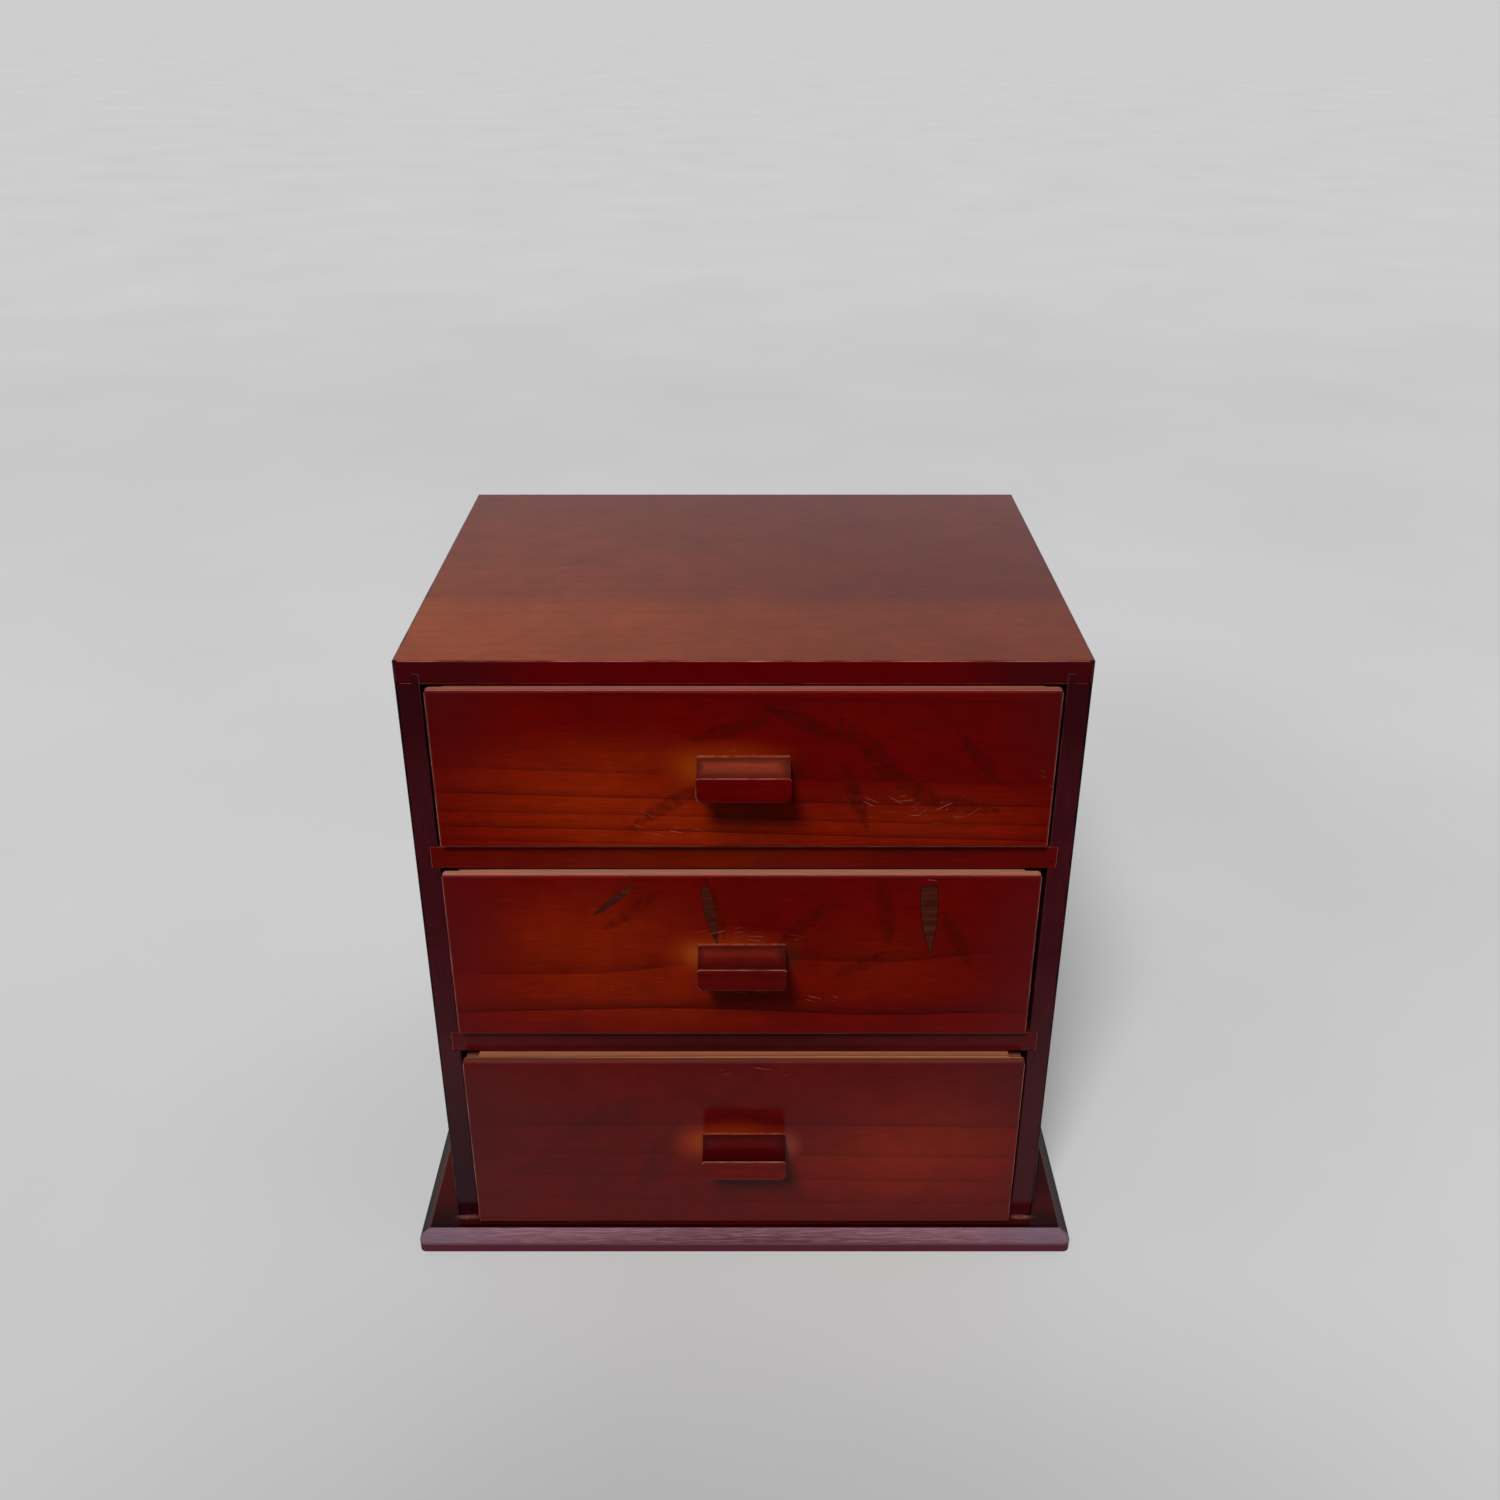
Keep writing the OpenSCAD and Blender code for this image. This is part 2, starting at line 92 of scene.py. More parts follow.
def new_finish(name):
    """An empty material and the place on the piece in millimetres."""
    material = bpy.data.materials.new(name)
    material.use_nodes = True
    tree = material.node_tree
    tree.nodes.clear()
    at = add(tree, "ShaderNodeTexCoord").outputs["Object"]
    place = add(tree, "ShaderNodeVectorMath", {0: at, "Scale": 1 / MM}, operation="SCALE")
    return material, tree, place


def growth_rings(tree, place, grain, heart, spacing, tilt=(0, 0, 0), wander=5, bend=570, width=0.5):
    """Late wood of a log whose heart runs through a point (mm): dark lines a ring apart.

    The lines are width millimetres wide and stray by up to wander millimetres, in bends that are
    bend millimetres long. They start softly and end sharply, as late wood does."""
    # Length of the bends across the grain and width of a line's sharp end (mm), share and spread of
    # its soft start, and strength of the faintest year
    bend_across = 34
    end_width = 0.15
    soft_share = 0.22
    soft_spread = 6
    faintest_year = 0.45
    log = add(tree, "ShaderNodeMapping", {"Vector": place, "Location": heart, "Rotation": tilt},
              vector_type="TEXTURE")
    across = Vector([1.0 if share == 1 else 0.0 for share in grain])
    pace = Vector([1.0 if share == 1 else bend_across / bend for share in grain])
    drawn = add(tree, "ShaderNodeVectorMath", {0: log, 1: pace}, operation="MULTIPLY")
    bends = add(tree, "ShaderNodeTexNoise", {"Vector": drawn, "Scale": 1 / bend_across, "Detail": 1.5})
    shift = add(tree, "ShaderNodeVectorMath", {0: bends.outputs["Color"], 1: (0.5, 0.5, 0.5)},
                operation="SUBTRACT")
    shift = add(tree, "ShaderNodeVectorMath", {0: shift, "Scale": wander * 2}, operation="SCALE")
    moved = add(tree, "ShaderNodeVectorMath", {0: log, 1: shift}, operation="ADD")
    flat = add(tree, "ShaderNodeVectorMath", {0: moved, 1: across}, operation="MULTIPLY")
    reach = add(tree, "ShaderNodeVectorMath", {0: flat}, operation="LENGTH")
    years = add(tree, "ShaderNodeMath", {0: reach, 1: spacing}, operation="DIVIDE")
    season = add(tree, "ShaderNodeMath", {0: years}, operation="FRACT")
    sharpness = math.log(0.5) / math.log(1 - width / spacing)
    crisp = add(tree, "ShaderNodeMath", {0: season, 1: sharpness}, operation="POWER")
    soft = add(tree, "ShaderNodeMath", {0: season, 1: sharpness / soft_spread}, operation="POWER")
    darker = add(tree, "ShaderNodeMath", {0: soft, 1: soft_share, 2: crisp}, operation="MULTIPLY_ADD")
    ended = add(tree, "ShaderNodeMapRange", {"Value": season, "From Min": 1.0,
                                             "From Max": 1 - end_width / spacing})
    line = add(tree, "ShaderNodeMath", {0: darker, 1: ended}, operation="MULTIPLY")
    year = add(tree, "ShaderNodeMath", {0: years}, operation="FLOOR")
    luck = add(tree, "ShaderNodeTexWhiteNoise", {"W": year}, noise_dimensions="1D")
    strength = add(tree, "ShaderNodeMapRange", {"Value": luck.outputs["Value"], "To Min": faintest_year})
    return add(tree, "ShaderNodeMath", {0: line, 1: strength}, operation="MULTIPLY")


def fibres(tree, place, grain, width):
    """Fine streaks along the grain, width millimetres apart."""
    drawn = add(tree, "ShaderNodeVectorMath", {0: place, 1: grain * 0.5}, operation="MULTIPLY")
    return add(tree, "ShaderNodeTexNoise", {"Vector": drawn, "Scale": 2 / width, "Detail": 4.0})


def clouds(tree, place, size, low, high):
    """Soft blotches about size millimetres across, from low to high."""
    noise = add(tree, "ShaderNodeTexNoise", {"Vector": place, "Scale": 1 / size, "Detail": 3.0})
    return add(tree, "ShaderNodeMapRange", {"Value": noise, "From Min": 0.3, "From Max": 0.7,
                                            "To Min": low, "To Max": high})


def soft_spot(tree, place, centre, reach, strength=1.0):
    """The given strength at a centre, fading to 0 at an oval's edge (mm)."""
    local = add(tree, "ShaderNodeMapping", {"Vector": place, "Location": centre, "Scale": reach},
                vector_type="TEXTURE")
    spot = add(tree, "ShaderNodeTexGradient", {"Vector": local}, gradient_type="SPHERICAL")
    return add(tree, "ShaderNodeMapRange", {"Value": spot.outputs["Fac"], "To Max": strength},
               interpolation_type="SMOOTHSTEP")


def fade(tree, place, axis, start, end):
    """0 at the start and 1 at the end of a stretch along one axis (mm)."""
    parts = add(tree, "ShaderNodeSeparateXYZ", {"Vector": place})
    return add(tree, "ShaderNodeMapRange", {"Value": parts.outputs[axis], "From Min": start,
                                            "From Max": end}, interpolation_type="SMOOTHSTEP")


def all_of(tree, masks):
    """Where every one of these masks holds."""
    result = masks[0]
    for mask in masks[1:]:
        result = add(tree, "ShaderNodeMath", {0: result, 1: mask}, operation="MULTIPLY")
    return result


def any_of(tree, masks):
    """Where at least one of these masks holds."""
    result = masks[0]
    for mask in masks[1:]:
        result = add(tree, "ShaderNodeMath", {0: result, 1: mask}, operation="MAXIMUM")
    return result


def laid_over(tree, colour, layers):
    """A colour with layers over it, in order: pairs of a mask and the colour that shows there."""
    for mask, tint in layers:
        colour = add(tree, "ShaderNodeMix", {SHARE: mask, UNDER: colour, OVER: tint}, data_type="RGBA")
    return colour


def arrises(tree, place, node, width):
    """Wear along the sharp edges of a board: up to width millimetres, more in some places."""
    low, high = box_mm(node)
    off = add(tree, "ShaderNodeVectorMath", {0: place, 1: (low + high) / 2}, operation="SUBTRACT")
    off = add(tree, "ShaderNodeVectorMath", {0: off}, operation="ABSOLUTE")
    inside = add(tree, "ShaderNodeVectorMath", {0: (high - low) / 2, 1: off}, operation="SUBTRACT")
    gap = add(tree, "ShaderNodeSeparateXYZ", {"Vector": inside})
    x, y, z = gap.outputs
    near = add(tree, "ShaderNodeMath", {0: x, 1: y}, operation="MINIMUM")
    far = add(tree, "ShaderNodeMath", {0: x, 1: y}, operation="MAXIMUM")
    next_near = add(tree, "ShaderNodeMath", {0: far, 1: z}, operation="MINIMUM")
    edge = add(tree, "ShaderNodeMath", {0: near, 1: next_near}, operation="MAXIMUM")
    rubs = clouds(tree, place, 14, -0.2 * width, 0.3 * width)
    edge = add(tree, "ShaderNodeMath", {0: edge, 1: rubs}, operation="ADD")
    return add(tree, "ShaderNodeMapRange", {"Value": edge, "From Min": width, "From Max": 0.4 * width},
               interpolation_type="SMOOTHSTEP")


def scratches(tree, place, patch, angle, length=10, gap=2.4):
    """Short straight strokes at about an angle (degrees) to the level, inside a patch of a front.

    The real ones are hair-fine. They are drawn 0.3 mm wide, so that they show at all. Each stroke has
    a cell of its own, length by gap millimetres, where chance sets its place, slope and size, and
    about half of the cells are empty."""
    # How near its middle line a stroke is solid, and how far from it the stroke is gone (mm)
    solid = 0.06
    gone = 0.2
    turned = add(tree, "ShaderNodeMapping", {"Vector": place, "Rotation": (0, math.radians(angle), 0),
                                             "Scale": (length, ENDLESS, gap)}, vector_type="TEXTURE")
    cell = add(tree, "ShaderNodeVectorMath", {0: turned}, operation="FLOOR")
    luck = add(tree, "ShaderNodeTexWhiteNoise", {"Vector": cell})
    there = add(tree, "ShaderNodeMath", {0: luck.outputs["Value"], 1: 0.5}, operation="GREATER_THAN")
    chance = add(tree, "ShaderNodeSeparateXYZ", {"Vector": luck.outputs["Color"]})
    inside = add(tree, "ShaderNodeVectorMath", {0: turned}, operation="FRACTION")
    inside = add(tree, "ShaderNodeSeparateXYZ", {"Vector": inside})
    along = add(tree, "ShaderNodeMath", {0: inside.outputs["X"], 1: 0.5}, operation="SUBTRACT")
    height = add(tree, "ShaderNodeMapRange", {"Value": chance.outputs["X"], "To Min": 0.3, "To Max": 0.7})
    slope = add(tree, "ShaderNodeMapRange", {"Value": chance.outputs["Y"], "To Min": -0.4, "To Max": 0.4})
    axis = add(tree, "ShaderNodeMath", {0: slope, 1: along, 2: height}, operation="MULTIPLY_ADD")
    off = add(tree, "ShaderNodeMath", {0: inside.outputs["Z"], 1: axis}, operation="SUBTRACT")
    off = add(tree, "ShaderNodeMath", {0: off}, operation="ABSOLUTE")
    line = add(tree, "ShaderNodeMapRange", {"Value": off, "From Min": gone / gap, "From Max": solid / gap})
    span = add(tree, "ShaderNodeMapRange", {"Value": chance.outputs["Z"], "To Min": 0.08, "To Max": 0.5})
    past = add(tree, "ShaderNodeMath", {0: along}, operation="ABSOLUTE")
    past = add(tree, "ShaderNodeMath", {0: span, 1: past}, operation="SUBTRACT")
    tapered = add(tree, "ShaderNodeMapRange", {"Value": past, "From Max": 0.15})
    return all_of(tree, [there, line, tapered, patch])


def wood_surface(tree, colour, roughness, height, ior):
    """The wood's surface: height is its relief in millimetres."""
    bump = add(tree, "ShaderNodeBump", {"Height": height, "Distance": MM, "Strength": 1.0})
    surface = add(tree, "ShaderNodeBsdfPrincipled", {
        "Base Color": colour, "Roughness": roughness, "Normal": bump, "IOR": ior})
    add(tree, "ShaderNodeOutputMaterial", {"Surface": surface})


def bare_wood(tree, place, grain, rings):
    """Colour of planed bare wood: pale, with brown late wood and fine streaks."""
    streaks = fibres(tree, place, grain, 0.9)
    mixed = laid_over(tree, BARE_PALE, [(rings, BARE_LATE)])
    tone = add(tree, "ShaderNodeMapRange", {"Value": streaks, "From Min": 0.25, "From Max": 0.75,
                                            "To Min": 0.78, "To Max": 1.1})
    return add(tree, "ShaderNodeMix", {SHARE: 1.0, UNDER: mixed, OVER: tone}, data_type="RGBA",
               blend_type="MULTIPLY")


def stained_wood(tree, place, grain, rings, dark, warm, warmth, late, line_depth):
    """Colour of stained wood: shaded from dark to warm, with rings, streaks and blotches.

    Late wood takes up more of the stain, so its lines are darker than the wood between them."""
    lines = add(tree, "ShaderNodeMath", {0: rings, 1: line_depth}, operation="MULTIPLY")
    ringed = laid_over(tree, dark, [(warmth, warm), (lines, late)])
    streaks = fibres(tree, place, grain, 0.8)
    tone = add(tree, "ShaderNodeMapRange", {"Value": streaks, "From Min": 0.3, "From Max": 0.7,
                                            "To Min": 0.84, "To Max": 1.14})
    patches = clouds(tree, place, 26, 0.9, 1.1)
    mottle = clouds(tree, place, 7, 0.93, 1.07)
    depth = all_of(tree, [tone, patches, mottle])
    return add(tree, "ShaderNodeMix", {SHARE: 1.0, UNDER: ringed, OVER: depth}, data_type="RGBA",
               blend_type="MULTIPLY")


def lacquered_surface(tree, place, rings, colour, dull, ior=LACQUER_IOR):
    """The lacquer's shine: smooth with faint smears and ripples, and dull where it has gone."""
    # Height of the film's ripples, and how deep it sinks over late wood (mm)
    ripple_height = 0.008
    ring_sink = 0.015
    smears = clouds(tree, place, 30, LACQUER_ROUGHNESS - 0.03, LACQUER_ROUGHNESS + 0.06)
    rough = add(tree, "ShaderNodeMapRange", {"Value": dull, "To Min": smears, "To Max": BARE_ROUGHNESS})
    ripple = add(tree, "ShaderNodeTexNoise", {"Vector": place, "Scale": 1 / 4, "Detail": 1.0})
    ripple = add(tree, "ShaderNodeMath", {0: ripple, 1: ripple_height}, operation="MULTIPLY")
    relief = add(tree, "ShaderNodeMath", {0: rings, 1: -ring_sink, 2: ripple}, operation="MULTIPLY_ADD")
    wood_surface(tree, colour, rough, relief, ior)


# Carcase: planed solid boards, wiped with dark red-brown stain and brushed with clear lacquer.
# The stain hides most of the grain, and the film gives a soft even sheen that greys the top.
# Inside, where no brush reached, the boards are bare.

def carcase_board(node, grain, heart, tilt, dark, warm, warmth, bare_where, worn, width, marks=None,
                  pooled_where=(), ior=LACQUER_IOR, line_depth=0.3):
    """Lacquered board, dark or warm red as warmth says, with layers of its own that marks gives.

    It is bare where all stretches of bare_where hold. Its arrises are rubbed to the worn colour, up
    to width millimetres wide, and nearly black where any stretch of pooled_where holds."""
    material, tree, place = new_finish("red_lacquered_wood_" + node)
    rings = growth_rings(tree, place, grain, heart, spacing=6.5, tilt=tilt)
    colour = stained_wood(tree, place, grain, rings, dark, warm, warmth(tree, place), late="#300304",
                          line_depth=line_depth)
    rubbed = arrises(tree, place, node, width)
    layers = marks(tree, place) if marks else []
    layers.append((rubbed, worn))
    if pooled_where:
        darkened = any_of(tree, [fade(tree, place, *stretch) for stretch in pooled_where])
        layers.append((all_of(tree, [arrises(tree, place, node, 1.3), darkened]), "#120204"))
    bare = all_of(tree, [fade(tree, place, *stretch) for stretch in bare_where])
    layers.append((bare, bare_wood(tree, place, grain, rings)))
    colour = laid_over(tree, colour, layers)
    lacquered_surface(tree, place, rings, colour, any_of(tree, [bare, rubbed]), ior)
    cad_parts[node].material_slots[0].material = material


def top_warmth(tree, place):
    """The top board's stain has worn warmest on its front plank. Towards the left it is warmer and brighter,
    a painted pool of light.
    """
    low, high = box_mm("top_board")
    front_plank = add(tree, "ShaderNodeMath", {0: fade(tree, place, "Y", low.y + 79, low.y + 57), 1: 0.34},
                      operation="MULTIPLY")
    # A painted pool of light towards the front left
    left = soft_spot(tree, place, (low.x, low.y + 29, high.z), (250, 290, 400), 0.62)
    return add(tree, "ShaderNodeMath", {0: front_plank, 1: left}, operation="ADD")


def top_marks(tree, place):
    """The front edge was sanded least, so it holds the most stain. Towards its ends a painted sheen of
    reflected light turns it purple.

    The end grain at the left and right has drunk more stain than the face, so it is dark as well."""
    low, high = box_mm("top_board")
    end_grain = any_of(tree, [fade(tree, place, "X", high.x - 0.5, high.x - 0.2),
                              fade(tree, place, "X", low.x + 0.5, low.x + 0.2)])
    edge = fade(tree, place, "Y", low.y + 0.75, low.y + 0.4)
    # Towards the ends a painted sheen of reflected light turns the edge purple
    purple_sheen_ends = any_of(tree, [fade(tree, place, "X", side * 80, side * 125) for side in SIDES])
    stain = laid_over(tree, "#5c0002", [(purple_sheen_ends, "#44070c")])
    return [(end_grain, "#4a140e"), (edge, stain)]


def side_warmth(tree, place, side):
    """Behind the front edges the stain of a side shades to a warmer red, in broad uneven bands."""
    low, high = box_mm("right_side_panel")
    behind = fade(tree, place, "Y", low.y + 9, low.y + 69)
    bands = clouds(tree, place, 70, 0.1, 0.6)
    upper = soft_spot(tree, place, (side * high.x, low.y + 119, low.z + 199), (90, 130, 170), 0.35)
    bands = add(tree, "ShaderNodeMath", {0: bands, 1: upper}, operation="ADD")
    return all_of(tree, [behind, bands])


def side_marks(tree, place, foot):
    """Near the floor a side turns to a colour of its own.

    At its head the stain lies thickest on the front edge."""
    low, high = box_mm("right_side_panel")
    near_floor = fade(tree, place, "Z", 130, 25)
    head = all_of(tree, [fade(tree, place, "Z", high.z - 70, high.z - 7),
                         fade(tree, place, "Y", low.y + 5, low.y + 2)])
    return [(near_floor, foot), (head, "#34090f")]


def scuffs_and_sheen_film(tree, place):
    """Film on the base board's front chamfer: scuffed pale along the grain, with a painted sheen of
    reflected light that grows higher up.

    The painted sheen is greyer where it nears its ends and fainter in the middle, and the film is
    redder down over its lower edge."""
    low, high = box_mm("base_board")
    scuffs = fibres(tree, place, GRAIN_X, 0.7)
    scuffs = add(tree, "ShaderNodeMapRange", {"Value": scuffs, "From Min": 0.44, "From Max": 0.66})
    # A painted sheen of reflected light, growing towards the top of the chamfer
    rising_sheen = add(tree, "ShaderNodeMath", {0: fade(tree, place, "Z", high.z - 9, high.z + 0.5), 1: 0.6},
                 operation="MULTIPLY")
    pale = add(tree, "ShaderNodeMath", {0: scuffs, 1: 0.5, 2: rising_sheen}, operation="MULTIPLY_ADD")
    # Less painted sheen in the middle, so it is redder there
    middle = soft_spot(tree, place, (0, low.y, high.z), (120, 40, 30), 0.3)
    pale = add(tree, "ShaderNodeMath", {0: pale, 1: middle}, operation="SUBTRACT", use_clamp=True)
    lower_edge = fade(tree, place, "Z", high.z - 5.2, high.z - 5.6)
    # Greyer painted sheen towards the ends
    ends = any_of(tree, [fade(tree, place, "X", -110, -160), fade(tree, place, "X", 105, 155)])
    greyed = all_of(tree, [ends, fade(tree, place, "Z", high.z - 9, high.z - 4)])
    greyed = add(tree, "ShaderNodeMath", {0: greyed, 1: 0.6}, operation="MULTIPLY")
    return laid_over(tree, "#5a303c", [(pale, "#8c6672"), (lower_edge, "#744654"), (greyed, "#6a5866")])


def base_marks(tree, place):
    """The front chamfer has its scuffed film with a painted sheen, and the narrow face below it is rubbed
    dull.

    A dark line behind the chamfer is painted shade under the lowest drawer, and the feet of the end
    chamfers are nearly black. On top the stain is warm beside the chest, painted shade darkens it in
    front of the chest's sides, and dried glue shows at its feet."""
    low, high = box_mm("base_board")
    side_low, side_high = box_mm("right_side_panel")
    foot_middle = (side_low.x + side_high.x) / 2
    film_end = high.z - 7.3
    film_start = high.z - 6.2
    below = all_of(tree, [fade(tree, place, "Y", low.y + 0.6, low.y + 0.3),
                          fade(tree, place, "Z", film_start, film_end)])
    on_top = fade(tree, place, "Z", high.z - 0.4, high.z - 0.2)
    beside = any_of(tree, [fade(tree, place, "X", side * (side_high.x - 5.2), side * (side_high.x + 0.8))
                           for side in SIDES])
    warm = all_of(tree, [on_top, beside, fade(tree, place, "Y", low.y + 20, low.y + 38),
                         fade(tree, place, "Y", low.y + 130, low.y + 60)])
    warm_stain = laid_over(tree, "#440d09", [(fade(tree, place, "X", -20, 20), "#340608")])
    # Painted shade on the top in front of the chest's sides
    painted_front_shade = all_of(tree, [on_top, beside, fade(tree, place, "Y", low.y + 22, low.y + 12)])
    end_feet = any_of(tree, [fade(tree, place, "X", side * (high.x - 4.2), side * (high.x - 1.5))
                             for side in SIDES])
    end_feet = all_of(tree, [end_feet, fade(tree, place, "Z", high.z - 5.6, high.z - 5.2)])
    # Painted shade under the lowest drawer, just behind the chamfer
    under_drawer_shade = all_of(tree, [on_top, fade(tree, place, "Y", low.y + 5.6, low.y + 6.2),
                         fade(tree, place, "Y", low.y + 9, low.y + 7)])
    glue = any_of(tree, [soft_spot(tree, place, (side * foot_middle, side_low.y - 1.5, high.z), (9, 2.4, 3))
                         for side in SIDES])
    glue = all_of(tree, [glue, clouds(tree, place, 3, 0.2, 1.0)])
    # The front chamfer's scuffed film with its painted sheen
    chamfer = all_of(tree, [fade(tree, place, "Y", low.y + 6.4, low.y + 5.6),
                            fade(tree, place, "Z", film_end, film_start),
                            fade(tree, place, "Z", high.z, high.z - 0.2)])
    return [(below, "#582630"), (warm, warm_stain), (painted_front_shade, "#240609"), (end_feet, "#0c0204"),
            (under_drawer_shade, "#160000"), (glue, "#865a4e"), (chamfer, scuffs_and_sheen_film(tree, place))]


def dress_carcase():
    """Each board's log, shades, bare inside and rubbed edges."""
    side_low, side_high = box_mm("right_side_panel")
    top_low, top_high = box_mm("top_board")
    base_low, base_high = box_mm("base_board")
    upper = box_mm("upper_divider")[0]
    lower = box_mm("lower_divider")[0]
    overspray = ("Y", side_low.y + 8, side_low.y + 26)
    # The top's pale arris colour is partly rubbed wear and partly a painted highlight
    carcase_board("top_board", GRAIN_X, heart=(0, 20, 240), tilt=(0, 0.01, 0.02),
                  dark="#601d11", warm="#88380f", warmth=top_warmth, marks=top_marks,
                  bare_where=[("Z", top_low.z + 3, top_low.z + 1), overspray,
                              ("X", -side_low.x, 1 - side_low.x), ("X", side_low.x, side_low.x - 1)],
                  pooled_where=[("X", top_high.x - 3, top_high.x - 2), ("X", 3 - top_high.x, 2 - top_high.x),
                                ("Y", top_high.y - 4, top_high.y - 3)],
                  worn="#b46a66", width=0.5, ior=TOP_IOR, line_depth=0.2)
    for node, side, foot in (("right_side_panel", 1, "#400a12"), ("left_side_panel", -1, "#2a0710")):
        inner = side * side_low.x
        outer = side * side_high.x
        carcase_board(node, GRAIN_Z, heart=(side * 210, 10, 160), tilt=(0.02, 0.015, 0),
                      dark="#42131a", warm="#6c1a10",
                      warmth=lambda tree, place: side_warmth(tree, place, side),
                      marks=lambda tree, place: side_marks(tree, place, foot),
                      bare_where=[("X", inner + side * 6, inner + side * 4.4), overspray],
                      pooled_where=[("X", outer - side * 4, outer - side * 3)],
                      worn="#5c2a2e", width=0.4)
    carcase_board("upper_divider", GRAIN_X, heart=(0, 30, upper.z - 60), tilt=(0, 0.02, 0),
                  dark="#5e0906", warm="#6a1604", bare_where=[overspray], worn="#8a4a3a", width=0.3,
                  warmth=lambda tree, place: soft_spot(tree, place, (-30, upper.y, upper.z), (150, 30, 40)))
    carcase_board("lower_divider", GRAIN_X, heart=(0, 30, lower.z - 60), tilt=(0, 0.02, 0),
                  dark="#520c10", warm="#3e0a0c", bare_where=[overspray], worn="#8a4a3a", width=0.3,
                  warmth=lambda tree, place: soft_spot(tree, place, (0, lower.y, lower.z), (120, 30, 40)))
    carcase_board("base_board", GRAIN_X, heart=(0, 0, -70), tilt=(0, 0.01, 0.01),
                  dark="#3a0a0c", warm="#560a04", marks=base_marks,
                  warmth=lambda tree, place: soft_spot(tree, place, (0, base_low.y, 8), (150, 30, 20)),
                  bare_where=[("X", side_high.x - 1, side_high.x - 3),
                              ("X", 1 - side_high.x, 3 - side_high.x),
                              ("Y", side_low.y + 1, side_low.y + 3),
                              ("Y", base_high.y - 0.5, base_high.y - 1.5)],
                  worn="#7a464c", width=0.35, ior=BASE_IOR)


# Drawer fronts: planed solid boards, stained and lacquered on the face only, so their upper edges
# show bare wood. The stain was wiped unevenly and hands have rubbed it, so it glows from dark red
# to orange-brown, with crisp growth lines. A painted spray of leaves has worn away to faint shapes.

# Slender leaves of the spray: centre x and z, length, width (mm), angle (degrees)
LEAVES = (
    (30, 302, 50, 9, -24), (56, 291, 54, 10, -44), (74, 272, 46, 9, -30), (96, 262, 44, 8, -8),
    (50, 266, 40, 8, -70), (-6, 300, 44, 8, 16), (-34, 262, 46, 8, 32), (104, 286, 36, 7, -52),
    (66, 206, 48, 9, -82), (-14, 208, 40, 8, -74), (-52, 206, 40, 7, 38), (30, 200, 46, 9, 44),
    (58, 176, 44, 8, 26), (100, 190, 40, 8, -64), (-70, 84, 62, 13, 34), (-44, 58, 56, 14, 66),
    (-96, 54, 44, 10, 12), (-20, 96, 50, 10, -26))

# Leaves whose paint and lacquer have flaked off to dull grey-brown wood
FLAKED = ((86, 211, 60, 9, -86), (-16, 206, 40, 6, -80), (-60, 212, 28, 4, 40))

# How far behind and before a face (mm) the soft spots on it reach
SPOT_DEPTH = 30


def leaf(tree, place, x, z, length, width, angle):
    """1 inside a slender leaf that is pointed at both ends, 0 outside, with a soft step between."""
    local = add(tree, "ShaderNodeMapping", {
        "Vector": place, "Location": (x, 0, z), "Rotation": (0, math.radians(-angle), 0),
        "Scale": (length / 2, ENDLESS, width / 2)}, vector_type="TEXTURE")
    parts = add(tree, "ShaderNodeSeparateXYZ", {"Vector": local})
    spread = add(tree, "ShaderNodeMath", {0: parts.outputs["X"], 1: 2.0}, operation="POWER")
    side = add(tree, "ShaderNodeMath", {0: parts.outputs["Z"]}, operation="ABSOLUTE")
    edge = add(tree, "ShaderNodeMath", {0: spread, 1: side}, operation="ADD")
    return add(tree, "ShaderNodeMapRange", {"Value": edge, "From Min": 1.1, "From Max": 0.7})


def leaves_on(tree, place, node, leaves):
    """Where the leaves of a list lie, of those that may reach a node."""
    low, high = box_mm(node)
    masks = []
    for x, z, length, width, angle in leaves:
        if low.z < z + length / 2 and z - length / 2 < high.z:
            masks.append(leaf(tree, place, x, z, length, width, angle))
    return any_of(tree, masks)


def flaked_leaves(tree, place, node):
    """Layers of dull bare leaves, streaked along the grain, with a dark rim of painted shade where the film
    breaks off, as at a step.

    After them comes the mask of their bare wood."""
    high = box_mm(node)[1]
    ragged = clouds(tree, place, 3, -0.12, 0.12)
    soft = add(tree, "ShaderNodeMath", {0: leaves_on(tree, place, node, FLAKED), 1: ragged},
               operation="ADD")
    below_top = fade(tree, place, "Z", high.z - 5, high.z - 6)
    rim = add(tree, "ShaderNodeMapRange", {"Value": soft, "From Min": 0.3, "From Max": 0.4})
    inner = add(tree, "ShaderNodeMapRange", {"Value": soft, "From Min": 0.48, "From Max": 0.56})
    rim = all_of(tree, [rim, below_top])
    inner = all_of(tree, [inner, below_top])
    streaks = fibres(tree, place, GRAIN_X, 1.2)
    streaks = add(tree, "ShaderNodeMapRange", {"Value": streaks, "From Min": 0.35, "From Max": 0.65})
    dull = laid_over(tree, "#38120c", [(streaks, "#562216")])
    return [(rim, "#2c0503"), (inner, dull)], inner


